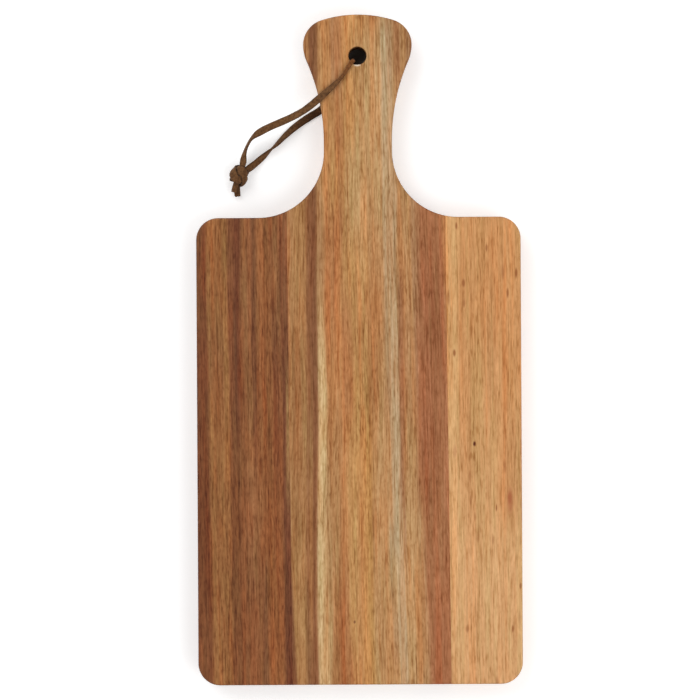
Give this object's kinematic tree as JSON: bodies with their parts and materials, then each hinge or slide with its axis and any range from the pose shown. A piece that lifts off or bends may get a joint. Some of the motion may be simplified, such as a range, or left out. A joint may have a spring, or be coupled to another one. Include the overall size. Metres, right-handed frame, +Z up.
{
  "type": "paddle serving board",
  "caption": "Flat rectangular wooden serving board of glued hardwood staves, with a flared paddle handle and a knotted suede hanging loop through its hole.",
  "frame": {"origin": "on the table under the middle of the board's length and width, with the board lying face up", "axes": "+X to the right across the blade, +Y along the board from the blade's foot to the handle's end, +Z up out of the serving face"},
  "size_m": [0.184, 0.38, 0.018],
  "materials": {
    "dark_wood": "oiled, satin",
    "tan_wood": "oiled, satin",
    "light_wood": "oiled, satin",
    "suede": "matt nap"
  },
  "bodies": {
    "board": {"left_stave": "dark_wood", "middle_stave": "tan_wood", "right_stave": "light_wood"},
    "thong": {"thong_loop": "suede", "thong_knot": "suede"}
  },
  "joints": [
    {"name": "loop_swing", "type": "hinge", "parent": "board", "child": "thong", "pos_m": [0, 0.1665, 0.009], "axis": [0, 0, 1], "range_deg": [-270, 0]}
  ]
}
